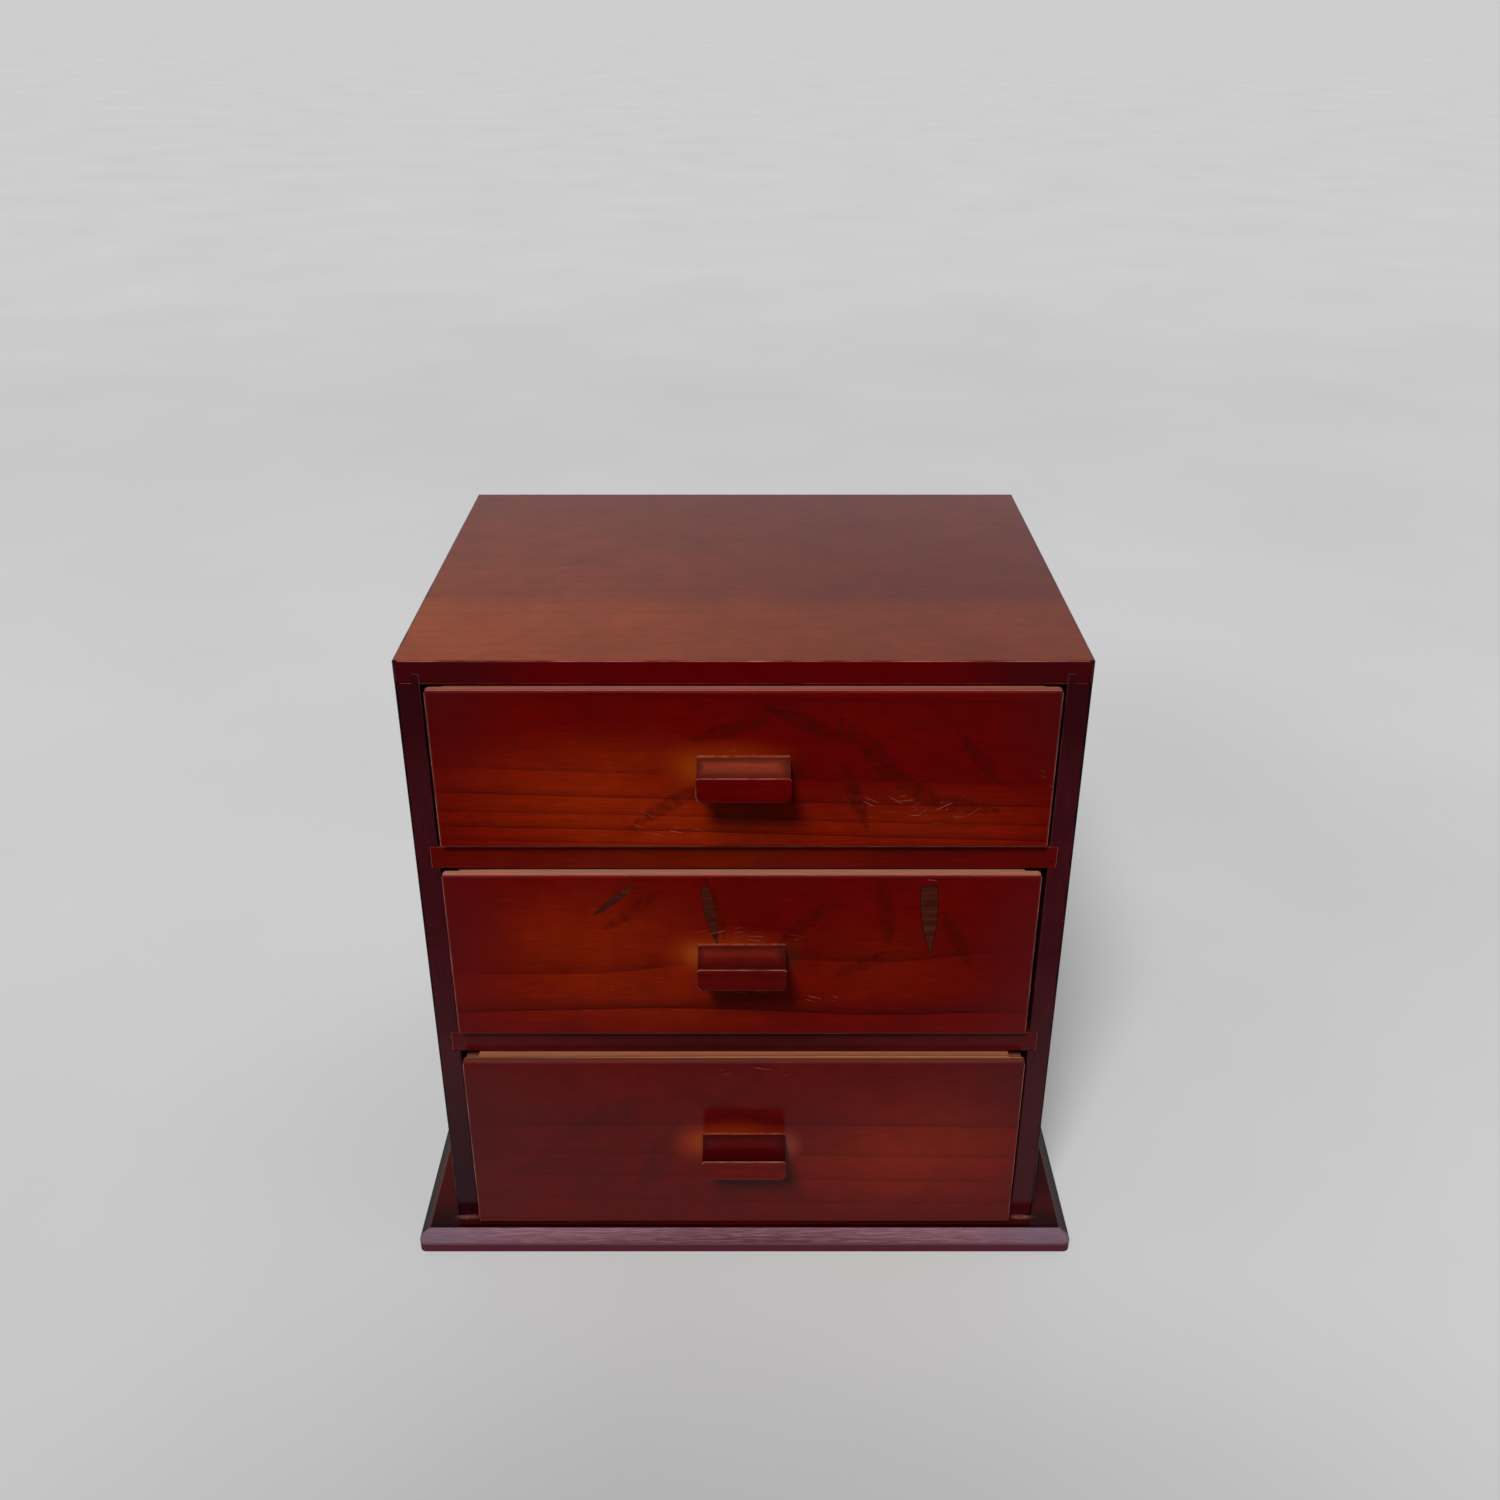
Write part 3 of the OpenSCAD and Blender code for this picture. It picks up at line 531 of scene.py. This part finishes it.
def pull_halo(tree, place, drawer, glow, grime_and_painted_light):
    """Layers round a pull: a painted reflection of the lit pull above it, stain rubbed thin to its left
    with a painted glow of light, and grime with the pull's painted shadow beside and below it.

    Just above it a pale line is partly film scuffed by fingers and partly a painted highlight."""
    low, high = box_mm(drawer + "_drawer_pull")
    middle = (low.x + high.x) / 2
    # Above the pull, a painted reflection of its lit hollow in the lacquer; to its left, stain rubbed thin
    above = soft_spot(tree, place, (middle - 6, high.y, high.z), (38, SPOT_DEPTH, 12), 0.75)
    left = soft_spot(tree, place, (low.x - 2, high.y, high.z - 5), (19, SPOT_DEPTH, 17), 0.8)
    thin = any_of(tree, [above, left])
    # A painted glow of light just left of the pull
    bright = soft_spot(tree, place, (low.x - 1, high.y, high.z - 5), (9, SPOT_DEPTH, 10), 0.45)
    # A pale line along the pull's root: scuffed film and a painted highlight
    scuffed_and_highlight_line = all_of(tree, [fade(tree, place, "Z", high.z - 0.2, high.z + 0.2),
                          fade(tree, place, "Z", high.z + 1.3, high.z + 0.8),
                          fade(tree, place, "X", low.x, low.x + 0.5),
                          fade(tree, place, "X", high.x, high.x - 0.5), clouds(tree, place, 4, 0.1, 0.8)])
    # Grime, and the pull's painted shadow, to its right and below it
    beside = soft_spot(tree, place, (high.x + 2, high.y, high.z - 7), (9, SPOT_DEPTH, 12), 0.5)
    below = soft_spot(tree, place, (middle, high.y, low.z - 1), (24, SPOT_DEPTH, 9), 0.5)
    return [(thin, "#962f06"), (bright, glow), (scuffed_and_highlight_line, "#b06450"), (any_of(tree, [beside, below]), grime_and_painted_light)]


def front_edges(tree, place, node, rings, strip):
    """Layers for a drawer front's edges and back, and the mask of all that no film covers.

    Stain has soaked a little way into the upper edge, and the rest of it is bare but tinted. The
    ends are stained like the face, only darker, because end grain drinks more."""
    tint, soaked_to, soaked_colour = strip
    low, high = box_mm(node)
    off = add(tree, "ShaderNodeVectorMath", {0: place, 1: (low + high) / 2}, operation="SUBTRACT")
    off = add(tree, "ShaderNodeVectorMath", {0: off}, operation="ABSOLUTE")
    half_width = (high.x - low.x) / 2
    ends = fade(tree, off, "X", half_width - 0.3, half_width - 0.1)
    within = add(tree, "ShaderNodeMath", {0: 1.0, 1: ends}, operation="SUBTRACT")
    end_grain = all_of(tree, [ends, fade(tree, place, "Y", low.y + 0.8, low.y + 1.2)])
    behind = all_of(tree, [fade(tree, place, "Y", low.y + 0.7, low.y + 0.9), within])
    bare = all_of(tree, [fade(tree, place, "Y", low.y + soaked_to - 0.4, low.y + soaked_to), within])
    near_face = fade(tree, place, "Y", low.y + 11, low.y + 7)
    tinted = laid_over(tree, "#ffffff", [(near_face, tint)])
    wood = add(tree, "ShaderNodeMix", {SHARE: 1.0, UNDER: bare_wood(tree, place, GRAIN_X, rings),
                                       OVER: tinted}, data_type="RGBA", blend_type="MULTIPLY")
    return [(end_grain, "#3c0a08"), (behind, soaked_colour), (bare, wood)], behind


def drawer_front(drawer, heart, rings, shades, line_depth, rubbed_top, leaf_depth, warm_spots,
                 cool_and_sheen_spots, scuffed, strip):
    """Face of a drawer: shaded stain, growth lines, worn leaf spray, rubs, scratches, bare top edge.

    heart is how far behind the face and above its middle the log's heart lay, and rings are the
    settings of growth_rings. shades are the stain where it is dark and warm, the cool colour of the
    ends, where a painted sheen of reflected light greys the darker stain, a painted glow of light left
    of the pull, and grime with painted shade beside and below the pull. line_depth, rubbed_top and
    leaf_depth are how strongly the growth lines, the rubs of the upper arris and the leaves show.
    Spots are x and z from the middle of the face, reach across and up, and strength, and scuffed ones
    have an angle instead. strip is the tint of the upper edge, how far back stain has soaked into it,
    and the colour there. All is in mm."""
    dark, warm, cool, glow, grime_and_painted_light = shades
    node = drawer + "_drawer_front"
    low, high = box_mm(node)
    middle = (low + high) / 2
    material, tree, place = new_finish("red_lacquered_wood_" + node)
    lines = growth_rings(tree, place, GRAIN_X, (0, low.y + heart[0], middle.z + heart[1]), **rings)

    def face_spot(x, z, across, up, strength=1.0):
        return soft_spot(tree, place, (middle.x + x, low.y, middle.z + z), (across, SPOT_DEPTH, up),
                         strength)

    warmth = face_spot(*warm_spots[0])
    for spot in warm_spots[1:]:
        warmth = add(tree, "ShaderNodeMath", {0: warmth, 1: face_spot(*spot)}, operation="ADD",
                     use_clamp=True)
    colour = stained_wood(tree, place, GRAIN_X, lines, dark, warm, warmth, late="#2c0203",
                          line_depth=line_depth)
    # Cooler, greyer ends: darker stain under a painted sheen of reflected light
    cooled_and_sheened = any_of(tree, [face_spot(*spot) for spot in cool_and_sheen_spots])
    layers = [(cooled_and_sheened, cool)] + pull_halo(tree, place, drawer, glow, grime_and_painted_light)
    # The painted spray is worn to a shade, mottled like the film that is left of it
    mottle = clouds(tree, place, 4, 0.15 * leaf_depth, leaf_depth)
    layers.append((all_of(tree, [leaves_on(tree, place, node, LEAVES), mottle]), "#340a05"))
    rubbed = all_of(tree, [arrises(tree, place, node, 0.7),
                           fade(tree, place, "Z", high.z - 0.8, high.z - 1.4)])
    upper = all_of(tree, [fade(tree, place, "Z", high.z - 0.3, high.z - 0.1),
                          fade(tree, place, "Y", low.y + 0.9, low.y + 0.6),
                          clouds(tree, place, 11, 0.7 * rubbed_top, rubbed_top)])
    layers += [(rubbed, "#b06e5c"), (upper, "#c4847a")]
    dull = [rubbed, upper]
    if drawer == "middle":
        flakes, flaked = flaked_leaves(tree, place, node)
        layers += flakes
        dull.append(add(tree, "ShaderNodeMath", {0: flaked, 1: 0.2}, operation="MULTIPLY"))
    for x, z, across, up, angle in scuffed:
        strokes = scratches(tree, place, face_spot(x, z, across, up), angle)
        layers.append((strokes, "#985e50"))
    edges, behind = front_edges(tree, place, node, lines, strip)
    colour = laid_over(tree, colour, layers + edges)
    lacquered_surface(tree, place, lines, colour, any_of(tree, [behind] + dull))
    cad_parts[node].material_slots[0].material = material


def dress_fronts():
    """Each drawer front's log, shades, rubs and scratches."""
    drawer_front(
        "top", heart=(61, 18.7),
        rings={"spacing": 4.98, "tilt": (0, 0.026, 0), "wander": 3, "bend": 420, "width": 0.5},
        shades=("#660402", "#8e2203", "#540a0c", "#9a460c", "#2e0a06"),
        line_depth=0.62, rubbed_top=0.95, leaf_depth=0.66,
        warm_spots=[(-78, -15, 94, 44, 0.92), (78, -27, 104, 30, 0.65), (-26, -33, 84, 32, 0.9),
                    (-46, 5, 50, 24, 0.3)],
        cool_and_sheen_spots=[(-142, 43, 60, 74), (142, 33, 46, 66)],
        scuffed=[(62, -17.5, 24, 8, 26), (92, -18.5, 22, 9, -32), (76, -23.5, 38, 5, -4),
                 (78, -13.5, 16, 6, -12), (-32, -30.5, 22, 7, 8), (-44, -25.5, 12, 6, 24),
                 (6, 9.5, 26, 4, 12), (136, -1.5, 5, 12, 30)],
        strip=("#d89cb0", 1.6, "#7a3630"))
    drawer_front(
        "middle", heart=(70.6, 29),
        rings={"spacing": 15.7, "tilt": (0, 0.02, 0.02), "wander": 7, "bend": 180, "width": 1.6},
        shades=("#660604", "#882004", "#5e1012", "#a4581e", "#34200e"),
        line_depth=0.85, rubbed_top=0.8, leaf_depth=0.55,
        warm_spots=[(-73, -1, 96, 60, 0.92), (63, -7, 80, 40, 0.4), (-23, -29, 70, 26, 0.5)],
        cool_and_sheen_spots=[(-141, 17, 48, 74), (143, -1, 48, 76)],
        scuffed=[(11, 10.5, 26, 5, 6), (-9, 14.5, 16, 6, -14), (3, -21.5, 16, 5, 12),
                 (97, 43.5, 26, 2.5, 3), (37, -23.5, 24, 3, 14), (-65, -17.5, 5, 4, 30)],
        strip=("#e4c0d0", 1.1, "#8a5048"))
    drawer_front(
        "bottom", heart=(66, 44),
        rings={"spacing": 10.5, "tilt": (0, 0.01, 0), "wander": 4, "bend": 400, "width": 0.9},
        # The last shade is lighter than the face: painted light that pales the pull's shadow
        shades=("#5e0a0a", "#7e1c06", "#510d0e", "#9a420c", "#984438"),
        line_depth=0.4, rubbed_top=0.12, leaf_depth=0.4,
        warm_spots=[(94, -2, 78, 52, 0.9), (50, -20, 70, 40, 0.4)],
        cool_and_sheen_spots=[(-142, 12, 56, 84), (142, 54, 50, 60)],
        scuffed=[(6, 46, 26, 4, -8), (0, 49, 30, 3, 12)],
        strip=("#dcb0ac", 3.6, "#5c3226"))


# Pulls: shaped hardwood, scooped by a moulding cutter, stained red and lacquered. The hollow's
# warm colour is painted light, and its ends, back and depths hold painted shade. Hands have rubbed
# the edge of the lip to a pale line.

def rim_distance(tree, place, low, high, low_radius, high_radius):
    """How far (mm) a place is inside a pull's outline, whose lower and upper corners are rounded."""
    off = add(tree, "ShaderNodeVectorMath", {0: place, 1: (low + high) / 2}, operation="SUBTRACT")
    parts = add(tree, "ShaderNodeSeparateXYZ", {"Vector": off})
    upper = add(tree, "ShaderNodeMath", {0: parts.outputs["Z"], 1: 0.0}, operation="GREATER_THAN")
    radius = add(tree, "ShaderNodeMapRange", {"Value": upper, "To Min": low_radius, "To Max": high_radius})
    reach = add(tree, "ShaderNodeVectorMath", {0: off}, operation="ABSOLUTE")
    core = add(tree, "ShaderNodeVectorMath", {0: reach, 1: (high - low) / 2}, operation="SUBTRACT")
    core = add(tree, "ShaderNodeVectorMath", {0: core, 1: radius}, operation="ADD")
    past = add(tree, "ShaderNodeSeparateXYZ", {"Vector": core})
    x = past.outputs["X"]
    z = past.outputs["Z"]
    outer_x = add(tree, "ShaderNodeMath", {0: x, 1: 0.0}, operation="MAXIMUM")
    outer_z = add(tree, "ShaderNodeMath", {0: z, 1: 0.0}, operation="MAXIMUM")
    corner = add(tree, "ShaderNodeCombineXYZ", {"X": outer_x, "Z": outer_z})
    corner = add(tree, "ShaderNodeVectorMath", {0: corner}, operation="LENGTH")
    inner = add(tree, "ShaderNodeMath", {0: x, 1: z}, operation="MAXIMUM")
    inner = add(tree, "ShaderNodeMath", {0: inner, 1: 0.0}, operation="MINIMUM")
    beyond = add(tree, "ShaderNodeMath", {0: corner, 1: inner}, operation="ADD")
    return add(tree, "ShaderNodeMath", {0: radius, 1: beyond}, operation="SUBTRACT")


def drawer_pull(drawer, hollow, lip, worn_side):
    """Pull: stained, with painted light behind its lip and painted shade at the ends of its hollow, rubbed
    pale along the lip and down its left side.
    """
    node = drawer + "_drawer_pull"
    low, high = box_mm(node)
    material, tree, place = new_finish("red_lacquered_hardwood_" + node)
    rings = growth_rings(tree, place, GRAIN_X, (0, low.y - 20, low.z - 30), spacing=4,
                         tilt=(0, 0.03, 0.02))
    # Behind the lip it turns to the hollow's colour, which is painted light
    behind_lip = fade(tree, place, "Y", low.y + 0.9, low.y + 1.6)
    colour = stained_wood(tree, place, GRAIN_X, rings, lip, hollow, behind_lip, late="#2c0203",
                          line_depth=0.3)
    # Painted shade at the ends, at the back and deep down in the hollow
    ends = any_of(tree, [fade(tree, place, "X", low.x + 5, low.x + 0.5),
                         fade(tree, place, "X", high.x - 8, high.x - 0.5),
                         fade(tree, place, "Y", high.y - 2.5, high.y - 0.3)])
    depth = add(tree, "ShaderNodeMath", {0: fade(tree, place, "Y", low.y + 18.5, low.y + 12), 1: 0.85},
                operation="MULTIPLY")
    darkened = all_of(tree, [any_of(tree, [ends, depth]), behind_lip])
    darkened = add(tree, "ShaderNodeMath", {0: darkened, 1: 0.7}, operation="MULTIPLY")
    inside = rim_distance(tree, place, low, high, low_radius=4.5, high_radius=1.5)
    rim = add(tree, "ShaderNodeMapRange", {"Value": inside, "From Min": 0.36, "From Max": 0.16})
    face = fade(tree, place, "Y", low.y + 0.6, low.y + 0.4)
    patchy = clouds(tree, place, 9, 0.3, 1.0)
    lip_top = fade(tree, place, "Z", high.z - 1.6, high.z - 0.4)
    left = all_of(tree, [fade(tree, place, "X", low.x + 6, low.x + 3),
                         fade(tree, place, "Z", high.z, low.z + 4)])
    left = add(tree, "ShaderNodeMath", {0: left, 1: worn_side}, operation="MULTIPLY")
    rubbed = all_of(tree, [rim, face, patchy, any_of(tree, [lip_top, left])])
    colour = laid_over(tree, colour, [(darkened, "#2a0406"), (rubbed, "#a46c62")])
    lacquered_surface(tree, place, rings, colour, rubbed, PULL_IOR)
    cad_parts[node].material_slots[0].material = material


# Drawer boxes: planed bare softwood, with thin plywood bottoms and back, nailed together. The
# wood is dry and matt, with brown late wood between pale bands and a fine streak along the grain.

def bare_board(name, grain, heart, depth=1.0, **rings_like):
    """Planed bare wood. depth is how strongly its rings show, and rings_like their other settings.

    Right behind the drawer fronts it is soiled with their stain."""
    streak_height = 0.05
    material, tree, place = new_finish(name)
    rings = growth_rings(tree, place, grain, heart, **rings_like)
    rings = add(tree, "ShaderNodeMath", {0: rings, 1: depth}, operation="MULTIPLY")
    colour = bare_wood(tree, place, grain, rings)
    front = box_mm("right_side_panel")[0].y
    soiled = fade(tree, place, "Y", front + 11, front + 4)
    colour = laid_over(tree, colour, [(soiled, "#7a4430")])
    relief = fibres(tree, place, grain, 0.7)
    relief = add(tree, "ShaderNodeMath", {0: relief, 1: streak_height}, operation="MULTIPLY")
    wood_surface(tree, colour, BARE_ROUGHNESS, relief, BARE_IOR)
    return material


def bright_steel():
    """Drawn steel wire and screws: bright, and dulled in specks by age."""
    material, tree, place = new_finish("bright_steel")
    specks = clouds(tree, place, 1.5, 0.28, 0.45)
    colour = laid_over(tree, "#a9a59c", [(specks, "#6f6a60")])
    surface = add(tree, "ShaderNodeBsdfPrincipled", {"Base Color": colour, "Metallic": 1.0,
                                                     "Roughness": specks})
    add(tree, "ShaderNodeOutputMaterial", {"Surface": surface})
    return material


def dress_drawers():
    """Each drawer's pull and bare box, the back panel and the steel fixings."""
    along_y = bare_board("bare_cedar_along_y", GRAIN_Y, (90, 0, -40), spacing=4)
    along_x = bare_board("bare_cedar_along_x", GRAIN_X, (0, 190, 90), spacing=4)
    # Veneer is peeled round the log, so a ring spreads to broad flames on it
    ply = bare_board("thin_plywood_bottom", GRAIN_X, (30, 10, -60), depth=0.5, spacing=7,
                     tilt=(0, 0.05, 0.03), wander=16, bend=260, width=1.8)
    back_ply = bare_board("thin_plywood_back", GRAIN_Z, (-50, 70, 160), depth=0.5, spacing=8,
                          tilt=(0.07, 0.03, 0), wander=18, bend=240, width=2)
    steel = bright_steel()
    # Colour of the hollow, painted light that is brightest on the top pull and darkest on the lowest,
    # the stain on the lip, and how far the left side is rubbed
    pull_looks = (("#82301a", "#620402", 0.9), ("#68150a", "#5a0c09", 0.6), ("#500405", "#6a1812", 0.1))
    for drawer, looks in zip(DRAWERS, pull_looks):
        drawer_pull(drawer, *looks)
        finishes = {"left_side": along_y, "right_side": along_y, "back": along_x, "bottom_panel": ply,
                    "pull_screws": steel, "corner_nails": steel, "bottom_nails": steel}
        for part, material in finishes.items():
            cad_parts[drawer + "_drawer_" + part].material_slots[0].material = material
    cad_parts["back_panel"].material_slots[0].material = back_ply
    for node in ("base_screws", "back_panel_nails"):
        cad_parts[node].material_slots[0].material = steel


# Studio: pale floor, soft light and the camera at the photograph's angle

def build_floor():
    """Pale floor. The eye sees it pale, and it sends less light than that up to the object.

    It is a little greyer far off, greyed by a painted shadow of the chest to its right and behind,
    and by a painted shade near the camera. Well in front of the chest it lies in a shade that only the
    lacquer mirrors."""
    bpy.ops.object.select_all(action="DESELECT")
    bpy.ops.mesh.primitive_plane_add(size=160, location=(0, 0, 0))
    floor = bpy.context.object
    floor.name = "studio_floor"
    material, tree, place = new_finish("pale_floor")
    path = add(tree, "ShaderNodeLightPath")
    gloss = path.outputs["Is Glossy Ray"]
    oval = add(tree, "ShaderNodeMapping", {"Vector": place, "Location": (0, -720, 0),
                                           "Scale": (520, 530, 500)}, vector_type="TEXTURE")
    oval = add(tree, "ShaderNodeTexGradient", {"Vector": oval}, gradient_type="SPHERICAL")
    shade = add(tree, "ShaderNodeMapRange", {"Value": oval.outputs["Fac"], "From Max": 0.26},
                interpolation_type="SMOOTHSTEP")
    shade = all_of(tree, [shade, gloss])
    # Painted shade on the floor near the camera
    painted_camera_shade = soft_spot(tree, place, (0, -350, 0), (500, 270, 500), 0.62)
    # A painted soft shadow of the chest on the floor, to its right and behind
    right = soft_spot(tree, place, (300, 330, 0), (480, 560, 500), 0.3)
    far = soft_spot(tree, place, (0, 1600, 0), (2600, 1300, 500), 0.22)
    colour = laid_over(tree, "#bcbcbc", [
        (painted_camera_shade, "#868686"), (any_of(tree, [right, far]), "#9a9a9a"),
        (path.outputs["Is Diffuse Ray"], "#8a8a8a"), (shade, "#0a0a0a")])
    glow = clouds(tree, place, 300, 0.1, 0.13)
    seen = any_of(tree, [path.outputs["Is Camera Ray"], gloss])
    open_floor = add(tree, "ShaderNodeMath", {0: 1.0, 1: shade}, operation="SUBTRACT")
    surface = add(tree, "ShaderNodeBsdfPrincipled", {
        "Base Color": colour, "Roughness": 0.8, "Specular IOR Level": 0.1,
        "Emission Color": "#ffffff", "Emission Strength": all_of(tree, [glow, seen, open_floor])})
    add(tree, "ShaderNodeOutputMaterial", {"Surface": surface})
    floor.data.materials.append(material)


def build_light():
    """A key light from the upper left in front, under a sky that is brightest high behind."""
    world = bpy.data.worlds.new("studio_world")
    bpy.context.scene.world = world
    world.use_nodes = True
    tree = world.node_tree
    tree.nodes.clear()
    path = add(tree, "ShaderNodeLightPath")
    seen = any_of(tree, [path.outputs[kind] for kind in ("Is Camera Ray", "Is Glossy Ray",
                                                         "Is Transmission Ray")])
    brightest = (0.2, 0.52, 0.83)
    way = add(tree, "ShaderNodeVectorMath", {0: add(tree, "ShaderNodeTexCoord").outputs["Generated"],
                                             1: brightest}, operation="DOT_PRODUCT")
    sky = add(tree, "ShaderNodeMapRange", {"Value": way.outputs["Value"], "To Min": 0.05, "To Max": 0.55})
    ambient = add(tree, "ShaderNodeBackground", {"Color": "#ffffff", "Strength": sky})
    backdrop = add(tree, "ShaderNodeBackground", {"Color": "#cfcfcf", "Strength": 1.0})
    both = add(tree, "ShaderNodeMixShader", {0: seen, 1: ambient, 2: backdrop})
    add(tree, "ShaderNodeOutputWorld", {"Surface": both})
    key = bpy.data.lights.new("key_light", "SUN")
    key.energy = 2.6
    key.angle = math.radians(16)
    lamp = bpy.data.objects.new("key_light", key)
    lamp.rotation_euler = (math.radians(39), 0, math.radians(-18))
    lamp.visible_glossy = False
    bpy.context.scene.collection.objects.link(lamp)


def build_camera():
    """Camera at the photograph's place: 0.59 m up and 0.69 m in front, looking 27 degrees down."""
    picture_width_px = 1500
    focal_length_px = 1486.93
    lens = bpy.data.cameras.new("camera")
    lens.sensor_width = 36
    lens.lens = lens.sensor_width * focal_length_px / picture_width_px
    camera = bpy.data.objects.new("camera", lens)
    camera.location = (0.00279, -0.6933, 0.5915)
    camera.rotation_euler = (math.radians(62.566), 0, 0)
    bpy.context.scene.collection.objects.link(camera)
    bpy.context.scene.camera = camera


dress_carcase()
dress_fronts()
dress_drawers()
build_floor()
build_light()
build_camera()
bpy.context.scene.view_settings.view_transform = "Standard"
